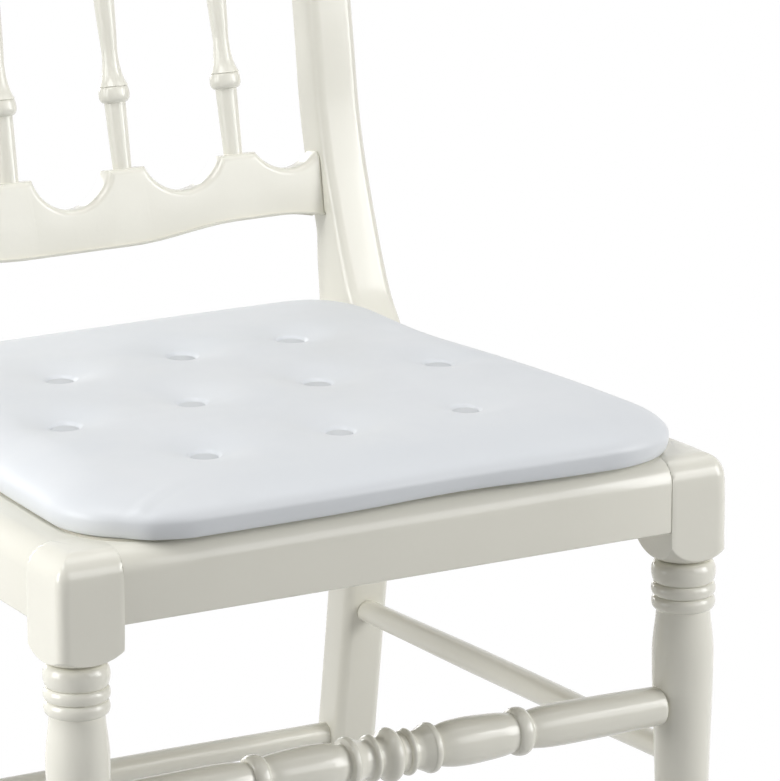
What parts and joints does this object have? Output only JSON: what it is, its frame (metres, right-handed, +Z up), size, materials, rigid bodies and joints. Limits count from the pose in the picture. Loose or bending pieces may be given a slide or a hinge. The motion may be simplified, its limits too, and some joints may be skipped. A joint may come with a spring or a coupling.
{
  "type": "side chair",
  "caption": "Ballroom side chair in ivory lacquer with turned front legs, sabre rear posts, a spindle back, a turned front stretcher and a loose buttoned cushion",
  "frame": {"origin": "on the floor, under the middle of the chair's box", "axes": "+X to the right of someone who looks at the front, +Y to the back, +Z up"},
  "size_m": [0.4, 0.46, 0.901],
  "materials": {
    "lacquer": "high gloss ivory lacquer over beech",
    "vinyl": "smooth satin white vinyl cover over foam",
    "seat_board": "sealed board, matt",
    "bare_wood": "bare, sanded",
    "steel": "zinc plated",
    "nylon": "moulded, matt",
    "tape": "woven hook and loop strip"
  },
  "bodies": {
    "frame": {"front_left_leg": "lacquer", "front_right_leg": "lacquer", "rear_left_post": "lacquer", "rear_right_post": "lacquer", "front_seat_rail": "lacquer", "rear_seat_rail": "lacquer", "left_seat_rail": "lacquer", "right_seat_rail": "lacquer", "seat_panel": "seat_board", "front_stretcher": "lacquer", "left_side_stretcher": "lacquer", "right_side_stretcher": "lacquer", "rear_stretcher": "lacquer", "lower_back_rail": "lacquer", "crest_rail": "lacquer", "back_spindle_1": "lacquer", "back_spindle_2": "lacquer", "back_spindle_3": "lacquer", "back_spindle_4": "lacquer", "front_left_corner_block": "bare_wood", "front_right_corner_block": "bare_wood", "rear_left_corner_block": "bare_wood", "rear_right_corner_block": "bare_wood", "front_left_panel_screw": "steel", "front_left_cross_screw": "steel", "front_left_side_screw": "steel", "front_right_panel_screw": "steel", "front_right_cross_screw": "steel", "front_right_side_screw": "steel", "rear_left_panel_screw": "steel", "rear_left_cross_screw": "steel", "rear_left_side_screw": "steel", "rear_right_panel_screw": "steel", "rear_right_cross_screw": "steel", "rear_right_side_screw": "steel", "front_left_glide": "nylon", "front_right_glide": "nylon", "rear_left_glide": "nylon", "rear_right_glide": "nylon", "front_left_hook_tape": "tape", "front_right_hook_tape": "tape", "rear_left_hook_tape": "tape", "rear_right_hook_tape": "tape"},
    "seat_cushion": {"cushion": "vinyl", "cushion_base": "bare_wood", "tuft_button_01": "vinyl", "tuft_button_02": "vinyl", "tuft_button_03": "vinyl", "tuft_button_04": "vinyl", "tuft_button_05": "vinyl", "tuft_button_06": "vinyl", "tuft_button_07": "vinyl", "tuft_button_08": "vinyl", "tuft_button_09": "vinyl", "tuft_button_10": "vinyl", "front_left_loop_tape": "tape", "front_right_loop_tape": "tape", "rear_left_loop_tape": "tape", "rear_right_loop_tape": "tape"}
  },
  "joints": [
    {"name": "cushion_lift", "type": "slide", "parent": "frame", "child": "seat_cushion", "axis": [0, 0, 1], "range_m": [0, 0.08]}
  ]
}
